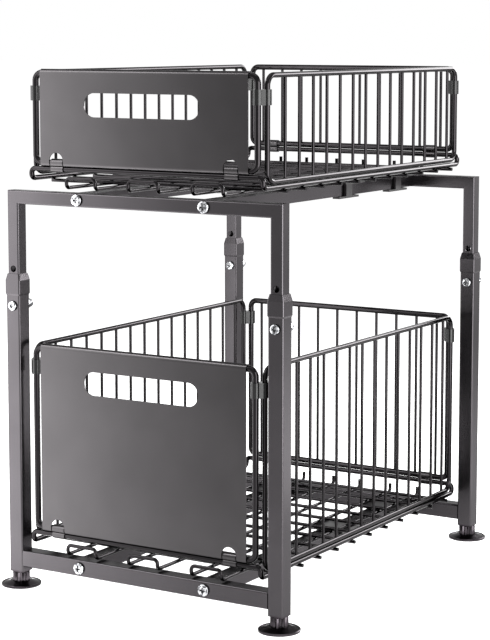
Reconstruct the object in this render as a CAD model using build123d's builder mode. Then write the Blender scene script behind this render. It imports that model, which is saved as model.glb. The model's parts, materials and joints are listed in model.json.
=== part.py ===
from build123d import *
import os
from math import hypot, radians, sin

# Two-tier pull-out rack. Millimetres, +Z up, front towards -Y.
# The origin is on the floor, in the middle of the four feet.

# Overall sizes
frame_width = 310
frame_depth = 410
beam_underside = 20
tier_pitch = 353

# Square tubes: the upper frames slide into the lower ones
upper_tube = 13
upper_wall = 1.0
lower_wall = 1.2
tube_play = 0.3
tube_corner = 1.6

# Telescoping posts
post_underside = 15.5
leg_bolt_height = 276
hole_pitch = 35.7
hole_play = 0.3
post_tail = 12.7
collar_flare = 0.7
collar_mouth_play = 0.8
collar_raise = 10
collar_band = 14.7
collar_taper = 6.2
collar_blend = 1.6

# Fasteners
bolt_radius = 2.95
bolt_end = 5
rail_screw_radius = 2.45
rail_screw_bite = 10
thread_play = 0.05
head_radius = 5.8
head_height = 2.6
head_dome = 0.9
recess_span = 5.6
recess_width = 1.2
recess_depth = 1.5
nut_across_flats = 10
nut_height = 5
nut_shoulder = 0.5
nut_crown = 3

# Levelling feet
pad_radius = 19.5
pad_rim = 1.8
pad_height = 4.4
pad_shoulder_radius = 12
grip_radius = 8.5
grip_gap = 0.4
rib_count = 28
rib_radius = 0.45
stud_radius = 3.95
stud_top = 38
plug_flange = 1.5
plug_depth = 16
plug_gap = 0.1

# Slide rails
rail_step = 58.2
rail_width = 20
rail_shoulder = 2
rail_wall = 1.5
rail_end_block = 12

# Basket plan: how far its wires stand in from the frame and from each other
end_inset = 7.5
side_inset = 26
front_wire_step = 5.7
side_panel_setback = 7
upper_basket_shift = 1.5
lower_basket_shift = -2.0

# Basket heights, from the rail centre to the top of the wire
upper_basket_top = 121.4
lower_basket_top = 212.3

# Wires
ring_radius = 2.5
panel_radius = 3.0
side_frame_radius = 2.5
upright_radius = 1.5
grid_radius = 1.75
weld_gap = 0.03
seat_gap = 0.3

# Base ring: the front and back bars bend straight down to the side bars
ring_bend = 4.5
ring_drop = 0.5

# Cross wires under the ring
cross_pitch = 34
cross_setback = 36.5
cross_rear_margin = 15
cross_overhang = 0.8

# Hairpin wires under the cross wires
hairpin_count = 3
hairpin_gap = 33
hairpin_bend = 4
hairpin_rise = 1
hairpin_overhang = 1

# Panels
end_corner = 7
side_corner = 10
upright_pitch = 25.5
side_upright_setback = 31
side_upright_margin = 12
back_upright_pitch = 24.3
back_upright_margin = 12

# Front sheet: its top and bottom edges are rolled around the wire frame
sheet_edge_gap = 7.8
sheet_thickness = 1.0
sheet_play = 0.05
top_hem_turn = 150
bottom_hem_turn = 60
slot_length = 128.4
slot_height = 22.4
slot_drop = 21
notch_raise = 1.8
notch_gap = 0.7

# Corner clips and strap clips
clip_height = 14
clip_seat = 2
clip_wall = 1.5
clip_web = 4.5
clip_play = 0.05
strap_width = 14
strap_thickness = 1.0

# Glides that wrap around the rails
glide_length = 40
glide_plate = 2.5
glide_gap = 0.4
glide_width = 40
hook_length = 12
hook_wall = 2.5
lip_thickness = 2.0
lip_width = 8
rear_glide_setback = 46
glide_pitch = 107

# Cuts run past the faces by this much
overrun = 2

# Places worked out from the sizes above
lower_bore = upper_tube + 2 * tube_play
lower_tube = lower_bore + 2 * lower_wall
tube_step = (lower_tube - upper_tube) / 2
frame_side = frame_width / 2
frame_front = frame_depth / 2
upper_side = frame_side - tube_step
upper_front = frame_front - tube_step
post_x = frame_side - lower_tube / 2
post_y = frame_front - lower_tube / 2
lower_rail_z = beam_underside + lower_tube / 2
upper_rail_z = lower_rail_z + tier_pitch
frame_top = upper_rail_z + upper_tube / 2
upper_post_underside = leg_bolt_height - hole_pitch - post_tail
hole_radius = bolt_radius + hole_play
screw_hole_radius = rail_screw_radius + hole_play
screw_bore_radius = rail_screw_radius + thread_play
nut_bore_radius = bolt_radius + thread_play
plug_bore_radius = stud_radius + thread_play
nut_dome_radius = nut_across_flats / 2 - nut_shoulder
nut_length = nut_height + bolt_end + nut_crown
grip_top = post_underside - plug_flange - grip_gap
rail_height = lower_tube - 2 * rail_shoulder
collar_size = lower_tube + 2 * collar_flare
collar_mouth_size = upper_tube + 2 * collar_mouth_play
collar_bottom = leg_bolt_height + collar_raise
collar_shoulder = collar_bottom + collar_band
collar_top = collar_shoulder + collar_taper
leg_places = [(-post_x, -post_y), (post_x, -post_y), (-post_x, post_y), (post_x, post_y)]
leg_names = ["front_left", "front_right", "rear_left", "rear_right"]

# Heights in a basket, from the rail centre
glide_plate_z = rail_height / 2 + glide_gap
hairpin_z = glide_plate_z + glide_plate + weld_gap + grid_radius
cross_z = hairpin_z + 2 * grid_radius + weld_gap
side_bar_z = cross_z + grid_radius + ring_radius + weld_gap
end_bar_z = side_bar_z + 2 * ring_bend + ring_drop
hairpin_end_z = hairpin_z + 2 * hairpin_bend + hairpin_rise
panel_z = end_bar_z + ring_radius + panel_radius + seat_gap
side_panel_z = side_bar_z + ring_radius + side_frame_radius + seat_gap

# Places in a basket's plan, from its middle
side_x = frame_side - side_inset
end_y = frame_front - end_inset
front_wire_x = side_x - front_wire_step
side_panel_end = end_y - side_panel_setback
rail_x = side_x - rail_step
rear_glide_y = end_y - rear_glide_setback
front_glide_y = rear_glide_y - glide_pitch
cross_count = int((2 * end_y - cross_setback - cross_rear_margin) / cross_pitch) + 1
side_upright_count = int((2 * side_panel_end - side_upright_setback - side_upright_margin) / upright_pitch) + 1
back_upright_count = int(2 * (front_wire_x - back_upright_margin) / back_upright_pitch) + 1

# Strap clips stand midway between the last two back uprights, in a notch of the sheet
strap_x = (back_upright_count / 2 - 1) * back_upright_pitch
wire_strap_radius = panel_radius + clip_play
bar_strap_radius = ring_radius + clip_play
notch_radius = hypot(strap_width / 2, wire_strap_radius + strap_thickness - notch_raise) + notch_gap

os.makedirs("parts", exist_ok=True)


def save(part, name):
    part.label = name
    export_step(part, f"parts/{name}.step")
    print(name, "solids", len(part.solids()), "volume", round(part.volume))


def facing_front(x, y, z=0):
    return Plane(origin=(x, y, z), x_dir=(1, 0, 0), z_dir=(0, -1, 0))


# Square tubes
def square_tube(size, wall, plane, length):
    with BuildPart() as tube:
        with BuildSketch(plane):
            RectangleRounded(size, size, tube_corner)
            bore = size - 2 * wall
            RectangleRounded(bore, bore, tube_corner - wall / 2, mode=Mode.SUBTRACT)
        extrude(amount=length)
    return tube.part


def mitre_plane(side):
    return Plane(origin=(side * upper_side, 0, frame_top), z_dir=(-side, 0, 1))


# Upper frames: a beam on two posts, with mitred corners
def upper_post(name, x, y):
    side = 1 if x > 0 else -1
    tube = square_tube(upper_tube, upper_wall, Plane.XY.offset(upper_post_underside).move(Location((x, y, 0))),
                       frame_top - upper_post_underside)
    with BuildPart() as post:
        add(tube)
        split(bisect_by=mitre_plane(side), keep=Keep.BOTTOM)
        with BuildSketch(facing_front(x, y)):
            with Locations(*[(0, leg_bolt_height + step * hole_pitch) for step in (-1, 0, 1)]):
                Circle(hole_radius)
        extrude(amount=lower_tube, both=True, mode=Mode.SUBTRACT)
    save(post.part, name)


def upper_beam(name, y):
    start = Plane(origin=(-upper_side, y, upper_rail_z), x_dir=(0, 1, 0), z_dir=(1, 0, 0))
    tube = square_tube(upper_tube, upper_wall, start, 2 * upper_side)
    with BuildPart() as beam:
        add(tube)
        split(bisect_by=mitre_plane(1), keep=Keep.TOP)
        split(bisect_by=mitre_plane(-1), keep=Keep.TOP)
        with BuildSketch(facing_front(0, y)):
            with Locations((-rail_x, upper_rail_z), (rail_x, upper_rail_z)):
                Circle(screw_hole_radius)
        extrude(amount=lower_tube, both=True, mode=Mode.SUBTRACT)
    save(beam.part, name)


# Lower frames: a beam between two posts, each with a flared collar
def lower_post(name, x, y):
    with BuildPart() as post:
        with BuildSketch(Plane(origin=(x, y, post_underside))):
            RectangleRounded(lower_tube, lower_tube, tube_corner)
        extrude(amount=collar_bottom - post_underside)
        with BuildSketch(Plane(origin=(x, y, collar_bottom))):
            RectangleRounded(lower_tube, lower_tube, tube_corner)
        with BuildSketch(Plane(origin=(x, y, collar_bottom + collar_blend))):
            RectangleRounded(collar_size, collar_size, tube_corner)
        loft()
        with BuildSketch(Plane(origin=(x, y, collar_bottom + collar_blend))):
            RectangleRounded(collar_size, collar_size, tube_corner)
        extrude(amount=collar_shoulder - collar_bottom - collar_blend)
        with BuildSketch(Plane(origin=(x, y, collar_shoulder))):
            RectangleRounded(collar_size, collar_size, tube_corner)
        with BuildSketch(Plane(origin=(x, y, collar_top))):
            RectangleRounded(collar_mouth_size, collar_mouth_size, tube_corner)
        loft()
        with BuildSketch(Plane(origin=(x, y, post_underside - overrun))):
            RectangleRounded(lower_bore, lower_bore, tube_corner - lower_wall / 2)
        extrude(amount=collar_top - post_underside + 2 * overrun, mode=Mode.SUBTRACT)
        with BuildSketch(facing_front(x, y, leg_bolt_height)):
            Circle(hole_radius)
        extrude(amount=lower_tube, both=True, mode=Mode.SUBTRACT)
    save(post.part, name)


def lower_beam(name, y):
    inner_side = frame_side - lower_tube
    start = Plane(origin=(-inner_side, y, lower_rail_z), x_dir=(0, 1, 0), z_dir=(1, 0, 0))
    tube = square_tube(lower_tube, lower_wall, start, 2 * inner_side)
    with BuildPart() as beam:
        add(tube)
        with BuildSketch(facing_front(0, y)):
            with Locations((-rail_x, lower_rail_z), (rail_x, lower_rail_z)):
                Circle(screw_hole_radius)
        extrude(amount=lower_tube, both=True, mode=Mode.SUBTRACT)
    save(beam.part, name)


for end, end_side in (("front", -1), ("rear", 1)):
    upper_beam(f"upper_{end}_beam", end_side * post_y)
    lower_beam(f"lower_{end}_beam", end_side * post_y)
for leg, (leg_x, leg_y) in zip(leg_names, leg_places):
    upper_post(f"upper_{leg}_post", leg_x, leg_y)
    lower_post(f"lower_{leg}_post", leg_x, leg_y)


# Slide rails: channels open downwards, with a tapped block in each end
def slide_rail(name, x, z, half_length):
    with BuildPart() as rail:
        with BuildSketch(Plane(origin=(x, -half_length, z), x_dir=(1, 0, 0), z_dir=(0, 1, 0))):
            Rectangle(rail_width, rail_height)
        extrude(amount=2 * half_length)
        inside = half_length - rail_end_block
        with BuildSketch(Plane(origin=(x, -inside, z), x_dir=(1, 0, 0), z_dir=(0, 1, 0))):
            with Locations((0, rail_wall)):
                Rectangle(rail_width - 2 * rail_wall, rail_height)
        extrude(amount=2 * inside, mode=Mode.SUBTRACT)
        with BuildSketch(facing_front(x, 0, z)):
            Circle(screw_bore_radius)
        extrude(amount=half_length + overrun, both=True, mode=Mode.SUBTRACT)
    save(rail.part, name)


for side_name, rail_side in (("left", -1), ("right", 1)):
    slide_rail(f"upper_{side_name}_rail", rail_side * rail_x, upper_rail_z, upper_front - upper_tube)
    slide_rail(f"lower_{side_name}_rail", rail_side * rail_x, lower_rail_z, frame_front - lower_tube)


# Pan head screws with a crossed recess, the head's underside on the XY plane
def pan_screw(shank_radius, shank_length):
    with BuildPart() as screw:
        with BuildSketch(Plane.XZ):
            with BuildLine():
                Line((0, -shank_length), (shank_radius, -shank_length))
                Line((shank_radius, -shank_length), (shank_radius, 0))
                Line((shank_radius, 0), (head_radius, 0))
                Line((head_radius, 0), (head_radius, head_dome))
                ThreePointArc((head_radius, head_dome),
                              (head_radius * sin(radians(45)), head_height - head_dome / 2),
                              (0, head_height))
                Line((0, head_height), (0, -shank_length))
            make_face()
        revolve(axis=Axis.Z)
        with BuildSketch(Plane.XY.offset(head_height + overrun)):
            Rectangle(recess_span, recess_width)
            Rectangle(recess_width, recess_span)
        extrude(amount=-recess_depth - overrun, mode=Mode.SUBTRACT)
    return screw.part


rail_screw = pan_screw(rail_screw_radius, lower_tube + rail_screw_bite)
with BuildPart() as rail_screws:
    for screw_x in (-rail_x, rail_x):
        for face_y, screw_z in ((upper_front, upper_rail_z), (frame_front, lower_rail_z)):
            with Locations(facing_front(screw_x, -face_y, screw_z).location):
                add(rail_screw)
            with Locations(Plane(origin=(screw_x, face_y, screw_z), x_dir=(-1, 0, 0), z_dir=(0, 1, 0)).location):
                add(rail_screw)
save(rail_screws.part, "rail_screws")

leg_bolt = pan_screw(bolt_radius, lower_tube + nut_height + bolt_end)
with BuildPart() as leg_bolts:
    for leg_x, leg_y in leg_places:
        with Locations(facing_front(leg_x, leg_y - lower_tube / 2, leg_bolt_height).location):
            add(leg_bolt)
save(leg_bolts.part, "leg_bolts")

with BuildPart() as dome_nut:
    with BuildSketch(Plane.XY):
        RegularPolygon(nut_across_flats / 2, 6, major_radius=False)
    extrude(amount=nut_height)
    with BuildSketch(Plane.XZ):
        with BuildLine():
            Line((0, 0), (nut_dome_radius, 0))
            Line((nut_dome_radius, 0), (nut_dome_radius, nut_length - nut_dome_radius))
            RadiusArc((nut_dome_radius, nut_length - nut_dome_radius), (0, nut_length), -nut_dome_radius)
            Line((0, nut_length), (0, 0))
        make_face()
    revolve(axis=Axis.Z)
    with BuildSketch(Plane.XY):
        Circle(nut_bore_radius)
    extrude(amount=nut_height + bolt_end, mode=Mode.SUBTRACT)
with BuildPart() as leg_dome_nuts:
    for leg_x, leg_y in leg_places:
        behind = Plane(origin=(leg_x, leg_y + lower_tube / 2, leg_bolt_height), x_dir=(1, 0, 0), z_dir=(0, 1, 0))
        with Locations(behind.location):
            add(dome_nut.part)
save(leg_dome_nuts.part, "leg_dome_nuts")

# Threaded plugs in the post bottoms
with BuildPart() as foot_plug:
    with BuildSketch(Plane.XY.offset(post_underside - plug_flange)):
        RectangleRounded(lower_tube, lower_tube, tube_corner)
    extrude(amount=plug_flange)
    with BuildSketch(Plane.XY.offset(post_underside)):
        plug_size = lower_bore - 2 * plug_gap
        RectangleRounded(plug_size, plug_size, tube_corner - lower_wall / 2)
    extrude(amount=plug_depth)
    with BuildSketch(Plane.XY.offset(post_underside - plug_flange)):
        Circle(plug_bore_radius)
    extrude(amount=plug_flange + plug_depth, mode=Mode.SUBTRACT)
with BuildPart() as foot_plugs:
    with Locations(*leg_places):
        add(foot_plug.part)
save(foot_plugs.part, "foot_plugs")

# Levelling feet: a domed pad, a ribbed grip and a threaded stud
with BuildPart() as foot:
    with BuildSketch(Plane.XZ):
        with BuildLine():
            Line((0, 0), (pad_radius, 0))
            Line((pad_radius, 0), (pad_radius, pad_rim))
            Spline((pad_radius, pad_rim), (pad_shoulder_radius, pad_height), tangents=((-1, 1), (-1, 0)))
            Line((pad_shoulder_radius, pad_height), (grip_radius, pad_height))
            Line((grip_radius, pad_height), (grip_radius, grip_top))
            Line((grip_radius, grip_top), (stud_radius, grip_top))
            Line((stud_radius, grip_top), (stud_radius, stud_top))
            Line((stud_radius, stud_top), (0, stud_top))
            Line((0, stud_top), (0, 0))
        make_face()
    revolve(axis=Axis.Z)
    with BuildSketch(Plane.XY.offset(pad_height)):
        with PolarLocations(grip_radius, rib_count):
            Circle(rib_radius)
    extrude(amount=grip_top, mode=Mode.SUBTRACT)
for leg, (leg_x, leg_y) in zip(leg_names, leg_places):
    with BuildPart() as levelling_foot:
        with Locations((leg_x, leg_y)):
            add(foot.part)
    save(levelling_foot.part, f"levelling_foot_{leg}")


# Bent wire, swept along an open path
def bent_wire(points, radius, bend):
    with BuildPart() as wire:
        with BuildLine() as path:
            FilletPolyline(*points, radius=bend)
        with BuildSketch(Plane(origin=path.line @ 0, z_dir=path.line % 0)):
            Circle(radius)
        sweep()
    return wire.part


# A closed frame of bent wire with four rounded corners
def wire_frame(points, radius, corner):
    with BuildPart() as wire:
        with BuildLine() as path:
            FilletPolyline(*points, radius=corner, close=True)
        loop = path.wires()[0]
        with BuildSketch(Plane(origin=loop @ 0, z_dir=loop % 0)):
            Circle(radius)
        sweep(path=loop)
    return wire.part


def end_frame(y, bottom, top):
    x = front_wire_x
    high = top - panel_radius
    return wire_frame([(-x, y, bottom), (x, y, bottom), (x, y, high), (-x, y, high)], panel_radius, end_corner)


# Base ring: the front and back bars are raised above the side bars
def base_ring(name, rail_z, shift):
    low = rail_z + side_bar_z
    high = rail_z + end_bar_z
    front = shift - end_y
    back = shift + end_y
    points = [(0, front, high), (side_x, front, high), (side_x, front, low),
              (side_x, back, low), (side_x, back, high), (0, back, high)]
    half = bent_wire(points, ring_radius, ring_bend)
    with BuildPart() as ring:
        add(half)
        mirror(about=Plane.YZ)
    save(ring.part, name)


def cross_wires(name, rail_z, shift):
    half = side_x + ring_radius + cross_overhang
    with BuildPart() as wires:
        for row in range(cross_count):
            y = shift - end_y + cross_setback + row * cross_pitch
            with BuildSketch(Plane(origin=(0, y, rail_z + cross_z), x_dir=(0, 1, 0), z_dir=(1, 0, 0))):
                Circle(grid_radius)
            extrude(amount=half, both=True)
    save(wires.part, name)


def hairpin_wires(name, rail_z, shift):
    low = rail_z + hairpin_z
    high = rail_z + hairpin_end_z
    front = shift - end_y - hairpin_overhang
    back = shift + end_y + hairpin_overhang
    half = hairpin_gap / 2
    wires = []
    for row in range(hairpin_count):
        x = (row - (hairpin_count - 1) / 2) * rail_x
        points = [(x - half, back, high), (x - half, back, low), (x - half, front, low), (x - half, front, high),
                  (x + half, front, high), (x + half, front, low), (x + half, back, low), (x + half, back, high)]
        wires.append(bent_wire(points, grid_radius, hairpin_bend))
    with BuildPart() as hairpins:
        add(wires)
    save(hairpins.part, name)


# Front sheet: handle slot near the top, two notches for the strap clips
def front_sheet(name, rail_z, shift, top):
    low = rail_z + panel_z
    high = rail_z + top - panel_radius
    y = shift - end_y
    half = front_wire_x - sheet_edge_gap
    face = panel_radius + sheet_play + sheet_thickness / 2
    slot_z = rail_z + top - slot_drop - slot_height / 2
    notch_z = low + notch_raise
    with BuildPart() as sheet:
        with BuildSketch(Plane(origin=(-half, y, 0), x_dir=(0, 1, 0), z_dir=(1, 0, 0))):
            with BuildLine():
                CenterArc((0, low), face, 180, bottom_hem_turn)
                Line((-face, low), (-face, high))
                CenterArc((0, high), face, 180, -top_hem_turn)
            trace(line_width=sheet_thickness)
        extrude(amount=2 * half)
        with BuildSketch(facing_front(0, y)):
            with Locations((0, slot_z)):
                SlotOverall(slot_length, slot_height)
            with Locations((-strap_x, notch_z), (strap_x, notch_z)):
                Circle(notch_radius)
                with Locations((0, -notch_radius)):
                    Rectangle(2 * notch_radius, 2 * notch_radius)
        extrude(amount=face + sheet_thickness, both=True, mode=Mode.SUBTRACT)
    save(sheet.part, name)


def side_panel(name, x, rail_z, shift, top):
    low = rail_z + side_panel_z
    high = rail_z + top - side_frame_radius
    half = side_panel_end
    loop = wire_frame([(x, shift - half, low), (x, shift + half, low), (x, shift + half, high),
                       (x, shift - half, high)], side_frame_radius, side_corner)
    with BuildPart() as panel:
        add(loop)
        with BuildSketch(Plane.XY.offset(low)):
            with Locations(*[(x, shift - half + side_upright_setback + row * upright_pitch)
                             for row in range(side_upright_count)]):
                Circle(upright_radius)
        extrude(amount=high - low)
    save(panel.part, name)


def back_panel(name, rail_z, shift, top):
    low = rail_z + panel_z
    high = rail_z + top - panel_radius
    loop = end_frame(shift + end_y, low, rail_z + top)
    with BuildPart() as panel:
        add(loop)
        with BuildSketch(Plane.XY.offset(low)):
            with Locations(*[((row - (back_upright_count - 1) / 2) * back_upright_pitch, shift + end_y)
                             for row in range(back_upright_count)]):
                Circle(upright_radius)
        extrude(amount=high - low)
    save(panel.part, name)


# Corner clips: two short barrels around the neighbouring upright wires
def corner_clips(name, rail_z, shift, top):
    with BuildPart() as clips:
        with BuildSketch(Plane.XY.offset(rail_z + top - panel_radius - side_corner - clip_seat - clip_height)):
            for end_side in (-1, 1):
                for side in (-1, 1):
                    end_wire = Vector(side * front_wire_x, shift + end_side * end_y)
                    side_wire = Vector(side * side_x, shift + end_side * side_panel_end)
                    along = side_wire - end_wire
                    with Locations(end_wire):
                        Circle(panel_radius + clip_wall)
                    with Locations(side_wire):
                        Circle(side_frame_radius + clip_wall)
                    with Locations(Location((end_wire + side_wire) * 0.5, Vector(1, 0, 0).get_signed_angle(along))):
                        Rectangle(along.length, clip_web)
                    with Locations(end_wire):
                        Circle(panel_radius + clip_play, mode=Mode.SUBTRACT)
                    with Locations(side_wire):
                        Circle(side_frame_radius + clip_play, mode=Mode.SUBTRACT)
        extrude(amount=clip_height)
    save(clips.part, name)


# Strap clips: bands wrapped around a panel's bottom wire and the ring's end bar
def strap_clips(name, rail_z, shift):
    wire_z = rail_z + panel_z
    bar_z = rail_z + end_bar_z
    with BuildPart() as straps:
        for end_side in (-1, 1):
            for side in (-1, 1):
                x = side * strap_x - strap_width / 2
                y = shift + end_side * end_y
                with BuildSketch(Plane(origin=(x, y, 0), x_dir=(0, 1, 0), z_dir=(1, 0, 0))):
                    with Locations((0, wire_z)):
                        Circle(wire_strap_radius + strap_thickness)
                    with Locations((0, bar_z)):
                        Circle(bar_strap_radius + strap_thickness)
                        Circle(bar_strap_radius, mode=Mode.SUBTRACT)
                    with Locations((0, wire_z)):
                        Circle(wire_strap_radius, mode=Mode.SUBTRACT)
                extrude(amount=strap_width)
    save(straps.part, name)


# Glides: a plate under the hairpin legs with hooks that wrap the rail
def rail_glides(name, x, rail_z, shift):
    plate_low = rail_z + glide_plate_z
    lip_high = rail_z - rail_height / 2 - glide_gap
    lip_low = lip_high - lip_thickness
    inner = rail_width / 2 + glide_gap
    with BuildPart() as glides:
        for place in (front_glide_y, rear_glide_y):
            y = shift + place
            with BuildSketch(Plane(origin=(x, y, plate_low))):
                Rectangle(glide_width, glide_length)
            extrude(amount=glide_plate)
            for side in (-1, 1):
                with BuildSketch(Plane(origin=(x, y, lip_high))):
                    with Locations((side * (inner + hook_wall / 2), 0)):
                        Rectangle(hook_wall, hook_length)
                extrude(amount=plate_low - lip_high)
                with BuildSketch(Plane(origin=(x, y, lip_low))):
                    with Locations((side * (inner + hook_wall - lip_width / 2), 0)):
                        Rectangle(lip_width, glide_length)
                extrude(amount=lip_thickness)
    save(glides.part, name)


def basket(tier, rail_z, shift, top):
    base_ring(f"{tier}_base_ring", rail_z, shift)
    cross_wires(f"{tier}_base_cross_wires", rail_z, shift)
    hairpin_wires(f"{tier}_base_hairpins", rail_z, shift)
    save(end_frame(shift - end_y, rail_z + panel_z, rail_z + top), f"{tier}_front_wire_frame")
    front_sheet(f"{tier}_front_sheet", rail_z, shift, top)
    back_panel(f"{tier}_back_panel", rail_z, shift, top)
    corner_clips(f"{tier}_corner_clips", rail_z, shift, top)
    strap_clips(f"{tier}_strap_clips", rail_z, shift)
    for side_name, side in (("left", -1), ("right", 1)):
        side_panel(f"{tier}_{side_name}_panel", side * side_x, rail_z, shift, top)
        rail_glides(f"{tier}_{side_name}_glides", side * rail_x, rail_z, shift)


basket("upper", upper_rail_z, upper_basket_shift, upper_basket_top)
basket("lower", lower_rail_z, lower_basket_shift, lower_basket_top)
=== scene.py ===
import json
import math

import bmesh
import bpy
from mathutils import Euler, Matrix, Vector


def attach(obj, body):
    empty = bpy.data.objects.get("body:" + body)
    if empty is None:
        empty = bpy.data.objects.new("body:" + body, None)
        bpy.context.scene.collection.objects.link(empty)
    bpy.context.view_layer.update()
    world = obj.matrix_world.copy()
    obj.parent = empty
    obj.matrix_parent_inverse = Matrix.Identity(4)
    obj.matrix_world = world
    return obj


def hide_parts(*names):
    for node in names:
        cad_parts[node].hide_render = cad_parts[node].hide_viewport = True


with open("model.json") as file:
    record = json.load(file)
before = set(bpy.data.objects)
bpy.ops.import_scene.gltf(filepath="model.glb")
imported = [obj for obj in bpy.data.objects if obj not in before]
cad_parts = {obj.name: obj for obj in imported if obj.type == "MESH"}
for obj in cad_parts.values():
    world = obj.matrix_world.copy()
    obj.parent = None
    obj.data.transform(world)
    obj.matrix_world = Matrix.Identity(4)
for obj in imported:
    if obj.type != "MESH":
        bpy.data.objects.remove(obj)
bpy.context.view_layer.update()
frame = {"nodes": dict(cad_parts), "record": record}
nodes = frame["nodes"]
mm = 0.001
print("frame loaded:", len(nodes), "nodes")


# Shader maths: an expression on values adds its Math nodes
class Value:
    def __init__(self, recipe, socket):
        self.recipe, self.socket = recipe, socket

    def math(self, operation, first, second):
        return self.recipe.node("Math", {"operation": operation}, {0: first, 1: second})

    def __add__(self, other):
        return self.math("ADD", self, other)

    def __radd__(self, other):
        return self.math("ADD", other, self)

    def __mul__(self, other):
        return self.math("MULTIPLY", self, other)

    def __rmul__(self, other):
        return self.math("MULTIPLY", other, self)


# A node tree in the making, for a material, the world or a lamp
class Recipe:
    def __init__(self, owner):
        owner.use_nodes = True
        self.owner, self.tree = owner, owner.node_tree
        self.tree.nodes.clear()

    def plug(self, socket, value):
        if isinstance(value, Value):
            self.tree.links.new(value.socket, socket)
        else:
            socket.default_value = value

    def node(self, kind, settings, sockets, out=0):
        made = self.tree.nodes.new("ShaderNode" + kind)
        for key, setting in settings.items():
            setattr(made, key, setting)
        for key, value in sockets.items():
            self.plug(made.inputs[key], value)
        return Value(self, made.outputs[out]) if made.outputs else None

    def noise(self, scale, detail=2.0):
        place = self.node("TexCoord", {}, {}, "Object")
        return self.node("TexNoise", {}, {"Vector": place, "Scale": scale, "Detail": detail})

    def blend(self, factor, first, second):
        return self.node("Mix", {"data_type": "RGBA"}, {0: factor, 6: first, 7: second}, 2)

    def bump(self, height, depth):
        return self.node("Bump", {}, {"Height": height, "Distance": depth, "Strength": 1.0})


def grey(level, tint=(1.0, 1.0, 1.0)):
    return (level * tint[0], level * tint[1], level * tint[2], 1.0)


# Coats and plastics: a faint cloudiness in colour and gloss over a fine orange peel.
# Cloud and peel are noise scales per metre, depth is in metres.
framePaint = {"level": 0.043, "tint": (1.04, 0.965, 1.03), "rough": 0.23, "edge": 0.62,
              "cloud": 22.0, "detail": 2.0, "uneven": 0.15, "peel": 900.0, "depth": 0.000002}
wireCoat = {"level": 0.015, "tint": (1.05, 0.97, 1.03), "rough": 0.09, "edge": 0.66,
            "cloud": 60.0, "detail": 2.0, "uneven": 0.15, "peel": 1500.0, "depth": 0.0000005}
sheetPaint = {"level": 0.042, "tint": (1.03, 0.975, 1.01), "rough": 0.23, "edge": 0.5,
              "cloud": 22.0, "detail": 2.0, "uneven": 0.15, "peel": 900.0, "depth": 0.000002}
clipPlastic = {"level": 0.004, "tint": (1.0, 1.0, 1.0), "rough": 0.2, "shine": 0.25,
               "cloud": 22.0, "detail": 3.0, "uneven": 0.1, "peel": 1100.0, "depth": 0.000005}
glideNylon = {"level": 0.006, "tint": (1.1, 0.95, 1.05), "rough": 0.3, "shine": 0.25,
              "cloud": 22.0, "detail": 3.0, "uneven": 0.1, "peel": 1000.0, "depth": 0.00001}
footCoat = {"level": 0.03, "tint": (1.08, 0.95, 1.06), "rough": 0.22, "edge": 0.62,
            "cloud": 60.0, "detail": 2.0, "uneven": 0.15, "peel": 700.0, "depth": 0.000003}
glossSpread = 0.03  # how far the roughness of a coat or plastic varies in all


def coating(name, facts, sheen):
    coat = Recipe(bpy.data.materials.new(name))
    cloud = coat.noise(facts["cloud"], facts["detail"])
    peel = coat.noise(facts["peel"])
    dark = grey(facts["level"] * (1.0 - facts["uneven"]), facts["tint"])
    light = grey(facts["level"] * (1.0 + facts["uneven"]), facts["tint"])
    shader = coat.node("BsdfPrincipled", {}, {
        "Base Color": coat.blend(cloud, dark, light),
        "Roughness": cloud * glossSpread + (facts["rough"] - glossSpread / 2),
        "Normal": coat.bump(peel, facts["depth"]),
        **sheen,
    })
    coat.node("OutputMaterial", {}, {"Surface": shader})
    return coat.owner


def plastic(name, facts):
    return coating(name, facts, {"Specular IOR Level": facts["shine"]})


# A dark mirror whose edges stay dark
def blackCoat(name, facts):
    return coating(name, facts, {"Metallic": 1.0, "Specular Tint": grey(facts["edge"])})


# Zinc plate: bright mottled metal, darkened by painted shade where the piece's own attribute
# says so
zincPlate = {"bright": (0.5, 0.505, 0.52, 1.0), "low": (0.055, 0.055, 0.06, 1.0),
             "paintedShadeColour": (0.1, 0.1, 0.105, 1.0), "rough": 0.16, "roughSpread": 0.1, "edge": 0.25,
             "spots": 600.0, "detail": 3.0, "contrast": 5.0, "shift": -1.9, "depth": 0.000005}


def plating(name, facts):
    plate = Recipe(bpy.data.materials.new(name))
    spots = plate.noise(facts["spots"], facts["detail"])
    # painted shade: blends the mottled zinc towards a dark colour where the attribute is set
    paintedShade = plate.node("Attribute", {"attribute_name": "paintedShade"}, {}, "Fac")
    mottled = plate.blend(spots * facts["contrast"] + facts["shift"],
                          facts["low"], facts["bright"])
    shader = plate.node("BsdfPrincipled", {}, {
        "Base Color": plate.blend(paintedShade, mottled, facts["paintedShadeColour"]),
        "Metallic": 1.0,
        "Roughness": spots * facts["roughSpread"] + (facts["rough"] - facts["roughSpread"] / 2),
        "Specular Tint": grey(facts["edge"]),
        "Normal": plate.bump(spots, facts["depth"]),
    })
    plate.node("OutputMaterial", {}, {"Surface": shader})
    return plate.owner


finishes = {
    "frame_paint": blackCoat("frame_paint", framePaint),
    "basket_wire": blackCoat("basket_wire", wireCoat),
    "basket_sheet": blackCoat("basket_sheet", sheetPaint),
    "clip_plastic": plastic("clip_plastic", clipPlastic),
    "glide_plastic": plastic("glide_plastic", glideNylon),
    "foot_plastic": blackCoat("foot_plastic", footCoat),
    "zinc": plating("zinc", zincPlate),
}
strapFinish = "basket_sheet"  # the straps are as light as the sheet
slotOf = {row["node"]: row["material_slot"] for row in frame["record"]["subparts"]}
for name, node in nodes.items():
    finish = strapFinish if name.endswith("strap_clips") else slotOf[name]
    node.data.materials.clear()
    node.data.materials.append(finishes[finish])
print("finishes made")

flat = 0.9  # how far up or down the normal of a flat face points at least
sameHeight = 1e-6  # metres, within which two heights are the same


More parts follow.
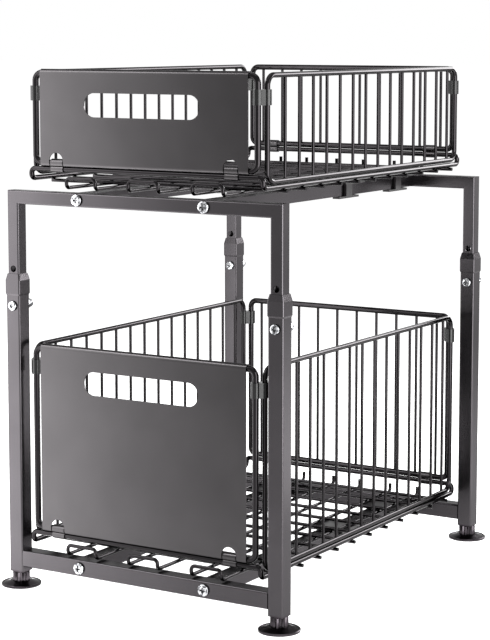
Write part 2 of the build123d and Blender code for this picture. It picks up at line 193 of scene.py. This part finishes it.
# Modelling by hand: pick parts of the piece in edit mode, then work on them
def pick(kind, test):
    bpy.ops.object.mode_set(mode="EDIT")
    bpy.ops.mesh.select_mode(type=kind)
    bpy.ops.mesh.select_all(action="DESELECT")
    mesh = bmesh.from_edit_mesh(bpy.context.object.data)
    for part in {"FACE": mesh.faces, "EDGE": mesh.edges, "VERT": mesh.verts}[kind]:
        if test(part):
            part.select_set(True)
    bmesh.update_edit_mesh(bpy.context.object.data)


def grow(rise, scale=1.0):
    bpy.ops.mesh.extrude_region_move(TRANSFORM_OT_translate={"value": (0.0, 0.0, rise)})
    if scale != 1.0:
        bpy.ops.transform.resize(value=(scale, scale, 1.0))


def leaveEdit():
    bpy.ops.object.mode_set(mode="OBJECT")


def cut(piece, cutter):
    piece.select_set(True)
    bpy.context.view_layer.objects.active = piece
    work = piece.modifiers.new("cut", "BOOLEAN")
    work.operation, work.solver, work.object = "DIFFERENCE", "EXACT", cutter
    bpy.ops.object.modifier_apply(modifier="cut")
    bpy.data.objects.remove(cutter)


# A copy of the master, turned in degrees and moved in millimetres within its own mesh
def place(master, name, spot, turn=(0.0, 0.0, 0.0)):
    turned = Euler([math.radians(angle) for angle in turn]).to_matrix().to_4x4()
    copy = master.copy()
    copy.data = master.data.copy()
    copy.name = name
    copy.data.transform(Matrix.Translation(Vector(spot) * mm) @ turned)
    bpy.context.scene.collection.objects.link(copy)
    return copy


def joined(copies, name):
    bpy.ops.object.select_all(action="DESELECT")
    for copy in copies:
        copy.select_set(True)
    bpy.context.view_layer.objects.active = copies[0]
    bpy.ops.object.join()
    piece = bpy.context.object
    piece.name = name
    return piece


def handIn(piece, body, slot, node):
    piece.data.materials.clear()
    piece.data.materials.append(finishes[slot])
    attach(piece, body)
    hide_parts(node)


# Pan head screws with a tapered cross recess, in millimetres
railScrew = {"head": 5.8, "height": 2.6, "crown": 1.7, "shank": 2.45, "length": 26.0,
             "span": 7.4, "width": 1.9, "depth": 1.7}
legBolt = {"head": 4.8, "height": 2.4, "crown": 1.5, "shank": 2.95, "length": 26.0,
           "span": 6.2, "width": 1.7, "depth": 1.5}
# What both share: the crown's rounding, the tip, and how far the recess narrows
screwForm = {"sides": 40, "crownSteps": 4, "crownBulge": 0.55, "tip": 1.0, "tipScale": 0.7,
             "recessScale": 0.55, "smooth": 35.0}
# The recess and the wall of the head get painted shade, darker than the dome. The recess starts
# a skin below the top, and the wall is what stands upright near the edge of the head.
paintedShades = {"recess": 0.92, "wall": 0.75, "skin": 0.05, "upright": 0.35, "nearEdge": 0.9}
railScrewSpots = [(x, y, z) for x in (-70.8, 70.8) for y, z in ((203.5, 381.0), (205.0, 28.0))]
legSpots = {"front_left": (-147.0, -197.0), "front_right": (147.0, -197.0),
            "rear_left": (-147.0, 197.0), "rear_right": (147.0, 197.0)}
boltHeight = 276.0
halfTube = 8.0  # from the middle of a leg to the face under the bolt's head
headToFront, headToBack = (90.0, 0.0, 0.0), (-90.0, 0.0, 0.0)


def facesDown(face):
    return face.normal.z < -flat


def makeScrew(facts):
    head, top = facts["head"] * mm, facts["height"] * mm
    tip, narrowed = screwForm["tip"], screwForm["recessScale"]
    bpy.ops.object.select_all(action="DESELECT")
    bpy.ops.mesh.primitive_cylinder_add(vertices=screwForm["sides"], radius=head, depth=top,
                                        location=(0.0, 0.0, top / 2))
    screw = bpy.context.object
    bpy.ops.object.transform_apply(location=True)
    pick("EDGE", lambda edge: all(vert.co.z > top - sameHeight for vert in edge.verts))
    bpy.ops.mesh.bevel(offset=facts["crown"] * mm, segments=screwForm["crownSteps"],
                       profile=screwForm["crownBulge"])
    pick("FACE", facesDown)
    bpy.ops.mesh.inset(thickness=(facts["head"] - facts["shank"]) * mm)
    grow(-(facts["length"] - tip) * mm)
    grow(-tip * mm, screwForm["tipScale"])
    leaveEdit()
    for turn in (0.0, 90.0):
        bpy.ops.object.select_all(action="DESELECT")
        bpy.ops.mesh.primitive_cube_add(size=1.0, location=(0.0, 0.0, top))
        bar = bpy.context.object
        bar.scale = (facts["span"] * mm, facts["width"] * mm, 2 * facts["depth"] * mm)
        bar.rotation_euler = (0.0, 0.0, math.radians(turn))
        bpy.ops.object.transform_apply(location=True, rotation=True, scale=True)
        pick("FACE", facesDown)
        bpy.ops.transform.resize(value=(narrowed, narrowed, 1.0))
        leaveEdit()
        cut(screw, bar)
    # painted shade in the cross recess and on the upright wall of the head
    paintedShade = screw.data.attributes.new("paintedShade", "FLOAT", "FACE")
    for face in screw.data.polygons:
        out, height = math.hypot(face.center.x, face.center.y), face.center.z
        if out < facts["span"] * mm / 2 and 0.0 < height < top - paintedShades["skin"] * mm:
            paintedShade.data[face.index].value = paintedShades["recess"]
        elif abs(face.normal.z) < paintedShades["upright"] and out > head * paintedShades["nearEdge"]:
            paintedShade.data[face.index].value = paintedShades["wall"]
    bpy.ops.object.shade_smooth_by_angle(angle=math.radians(screwForm["smooth"]))
    return screw


def makeScrews():
    master = makeScrew(railScrew)
    copies = []
    for x, y, z in railScrewSpots:
        copies.append(place(master, "screw", (x, -y, z), headToFront))
        copies.append(place(master, "screw", (x, y, z), headToBack))
    bpy.data.objects.remove(master)
    handIn(joined(copies, "railScrews"), "frame", "zinc", "rail_screws")
    master = makeScrew(legBolt)
    copies = [place(master, "bolt", (x, y - halfTube, boltHeight), headToFront)
              for x, y in legSpots.values()]
    bpy.data.objects.remove(master)
    handIn(joined(copies, "legBolts"), "frame", "zinc", "leg_bolts")


makeScrews()
print("screws and bolts made")

# Levelling feet, in millimetres: a dished pad with a lip, a deeply fluted grip and a stud.
# A ring is a rise and a scale. Both dishRise, from the dish's floor, and shoulderRise,
# from the lip, end at the shoulder.
footShape = {"pad": 19.5, "lip": 1.8, "lipRings": ((0.45, 0.97), (0.0, 0.95), (-0.35, 0.985)),
             "dishRise": 1.5, "shoulder": 12.0, "shoulderRise": 1.6, "neck": 10.0,
             "padTop": 4.4, "grip": 8.5, "gripTop": 13.6, "gripRing": (0.6, 0.94),
             "flutes": 14, "flute": 0.84, "stud": 3.9, "studTop": 38.0, "smooth": 32.0}
# Of the corners that make up one flute, its sides and its middle go in.
# They are found within shares of the grip's radius, from a little below the pad's top.
fluteCorners = {"each": 4, "sides": (1, 3), "middle": (2,)}
gripBand = {"inside": 0.9, "outside": 1.02, "below": 0.05}


def makeFoot(facts):
    sides, radius = facts["flutes"] * fluteCorners["each"], facts["pad"]
    bpy.ops.object.select_all(action="DESELECT")
    bpy.ops.mesh.primitive_cylinder_add(vertices=sides, radius=facts["pad"] * mm,
                                        depth=facts["lip"] * mm,
                                        location=(0.0, 0.0, facts["lip"] * mm / 2))
    foot = bpy.context.object
    bpy.ops.object.transform_apply(location=True)
    pick("FACE", lambda face: face.normal.z > flat)
    for rise, scale in facts["lipRings"]:
        grow(rise * mm, scale)
        radius *= scale
    grow(facts["dishRise"] * mm, facts["shoulder"] / radius)
    grow((facts["padTop"] - facts["lip"] - facts["shoulderRise"]) * mm,
         facts["neck"] / facts["shoulder"])
    grow(0.0, facts["grip"] / facts["neck"])
    rise, scale = facts["gripRing"]
    grow((facts["gripTop"] - facts["padTop"] - rise) * mm)
    grow(rise * mm, scale)
    grow(0.0, facts["stud"] / facts["grip"] / scale)
    grow((facts["studTop"] - facts["gripTop"]) * mm)
    step = math.tau / sides
    inside, outside = (facts["grip"] * gripBand[key] for key in ("inside", "outside"))
    gripFloor = (facts["padTop"] - gripBand["below"]) * mm

    def inFlute(vert, corners):
        at = vert.co
        corner = round(math.atan2(at.y, at.x) / step) % fluteCorners["each"]
        onGrip = inside < math.hypot(at.x, at.y) / mm < outside and at.z > gripFloor
        return onGrip and corner in corners

    halfway = 0.5 + facts["flute"] / 2
    pick("VERT", lambda vert: inFlute(vert, fluteCorners["sides"]))
    bpy.ops.transform.resize(value=(halfway, halfway, 1.0))
    pick("VERT", lambda vert: inFlute(vert, fluteCorners["middle"]))
    bpy.ops.transform.resize(value=(facts["flute"], facts["flute"], 1.0))
    leaveEdit()
    bpy.ops.object.shade_smooth_by_angle(angle=math.radians(facts["smooth"]))
    return foot


def makeFeet():
    master = makeFoot(footShape)
    for leg, (x, y) in legSpots.items():
        foot = place(master, "foot_" + leg, (x, y, 0.0))
        handIn(foot, "levelling_foot_" + leg, "foot_plastic", "levelling_foot_" + leg)
    bpy.data.objects.remove(master)


makeFeet()
print("levelling feet made")

# Floor and room: pale, and white to the camera and in reflections.
# The floor is as low as a foot that is screwed out reaches.
studio = {"floorSize": 60.0, "floorHeight": -0.0102, "floorLevel": 0.8, "floorRough": 0.9,
          "floorLift": 0.66, "roomLight": 0.45}


# 1 for a ray from the camera, a mirror or glass, and 0 for light that falls on the object
def seenDirectly(recipe):
    rays = recipe.node("LightPath", {}, {}, "Is Camera Ray")
    glossy = Value(recipe, rays.socket.node.outputs["Is Glossy Ray"])
    clear = Value(recipe, rays.socket.node.outputs["Is Transmission Ray"])
    return rays + (glossy + clear)


def makeFloor(facts):
    bpy.ops.mesh.primitive_plane_add(size=facts["floorSize"],
                                     location=(0.0, 0.0, facts["floorHeight"]))
    floor = bpy.context.object
    floor.name = "floor"
    pale = Recipe(bpy.data.materials.new("floor_pale"))
    shader = pale.node("BsdfPrincipled", {}, {
        "Base Color": grey(facts["floorLevel"]),
        "Roughness": facts["floorRough"],
        "Specular IOR Level": 0.0,
        "Emission Color": grey(1.0),
        "Emission Strength": seenDirectly(pale) * facts["floorLift"],
    })
    pale.node("OutputMaterial", {}, {"Surface": shader})
    floor.data.materials.append(pale.owner)


def makeRoom(facts):
    room = Recipe(bpy.data.worlds.new("room"))
    bpy.context.scene.world = room.owner
    strength = seenDirectly(room) * (1.0 - facts["roomLight"]) + facts["roomLight"]
    light = room.node("Background", {}, {"Color": grey(1.0), "Strength": strength})
    room.node("OutputWorld", {}, {"Surface": light})


makeFloor(studio)
makeRoom(studio)

# Soft lights: middle in metres, tilt and turn in degrees, width and height, glow,
# and for two the part of the width over which the glow fades in
softLights = {
    "nearLeftPanel": {"place": (-0.277, -0.530, 0.4), "turn": (90.0, -34.5),
                      "size": (0.5, 0.8), "glow": 5.4, "fade": (0.14, 0.76)},
    "nearLeftFloor": {"place": (-0.163, -0.365, 0.003), "turn": (180.0, -34.5),
                      "size": (0.5, 0.4), "glow": 4.0, "fade": (0.14, 0.76)},
    "leftSoftbox": {"place": (-2.1, -0.3, 0.9), "turn": (90.0, -85.0),
                    "size": (1.5, 1.8), "glow": 1.5},
    "rightStrip": {"place": (0.82, -0.4, 0.35), "turn": (90.0, 60.0),
                   "size": (0.7, 0.7), "glow": 8.0},
    "rightSoftbox": {"place": (2.2, 0.05, 0.9), "turn": (90.0, 91.0),
                     "size": (1.5, 1.8), "glow": 2.5},
    "backSoftbox": {"place": (1.15, 2.1, 0.9), "turn": (90.0, 152.0),
                    "size": (0.8, 1.8), "glow": 1.2},
    "backFloor": {"place": (0.72, 0.8, 0.003), "turn": (180.0, 152.0),
                  "size": (0.38, 1.3), "glow": 1.9},
    "backHighSoftbox": {"place": (0.62, 1.35, 1.05), "turn": (117.0, 156.0),
                        "size": (1.3, 0.6), "glow": 13.0},
    "backLowStrip": {"place": (0.62, 1.35, 0.7), "turn": (105.0, 156.0),
                     "size": (1.3, 0.26), "glow": 24.0},
    "leftHighStrip": {"place": (-0.63, -0.62, 1.14), "turn": (40.0, -50.0),
                      "size": (0.6, 0.3), "glow": 6.5},
    "topSoftbox": {"place": (0.0, -0.2, 2.2), "turn": (0.0, 0.0),
                   "size": (1.6, 1.6), "glow": 1.2},
}
wattsPerGlow = 4.0  # watts per square metre of lamp, for a glow as bright as plain white


def makeLight(name, facts):
    data = bpy.data.lights.new(name, "AREA")
    data.shape = "RECTANGLE"
    data.size, data.size_y = facts["size"]
    data.energy = wattsPerGlow * facts["glow"] * data.size * data.size_y
    if "fade" in facts:
        lamp = Recipe(data)
        spot = lamp.node("NewGeometry", {}, {}, "Parametric")
        across = lamp.node("SeparateXYZ", {}, {"Vector": spot}, "X")
        start, end = facts["fade"]
        ramp = lamp.node("MapRange", {}, {"Value": across, "From Min": 1.0 - start,
                                          "From Max": 1.0 - end})
        glow = lamp.node("Emission", {}, {"Strength": ramp * ramp})
        lamp.node("OutputLight", {}, {"Surface": glow})
    holder = bpy.data.objects.new(name, data)
    holder.location = facts["place"]
    tilt, turn = facts["turn"]
    holder.rotation_euler = (math.radians(tilt), 0.0, math.radians(turn))
    holder.visible_camera = False
    bpy.context.scene.collection.objects.link(holder)


for name, facts in softLights.items():
    makeLight(name, facts)
print("lights placed:", len(softLights))

# Camera: right of the front, looking slightly down, like the photograph.
# Focal is in pixels, over an image whose longer side is pixels long.
cameraFacts = {"place": (1.038, -1.701, 0.5365), "yaw": 31.66, "tilt": 6.39, "focal": 1987.0,
               "pixels": 640.0, "sensor": 36.0, "shift": -0.1, "clip": (0.05, 100.0)}


def makeCamera(facts):
    data = bpy.data.cameras.new("camera")
    data.sensor_width = facts["sensor"]
    data.lens = facts["sensor"] * facts["focal"] / facts["pixels"]
    data.shift_y = facts["shift"]
    data.clip_start, data.clip_end = facts["clip"]
    camera = bpy.data.objects.new("camera", data)
    camera.location = facts["place"]
    camera.rotation_euler = (math.radians(90.0 - facts["tilt"]), 0.0, math.radians(facts["yaw"]))
    bpy.context.scene.collection.objects.link(camera)
    bpy.context.scene.camera = camera


makeCamera(cameraFacts)
bpy.context.scene.view_settings.view_transform = "Standard"
print("camera placed")
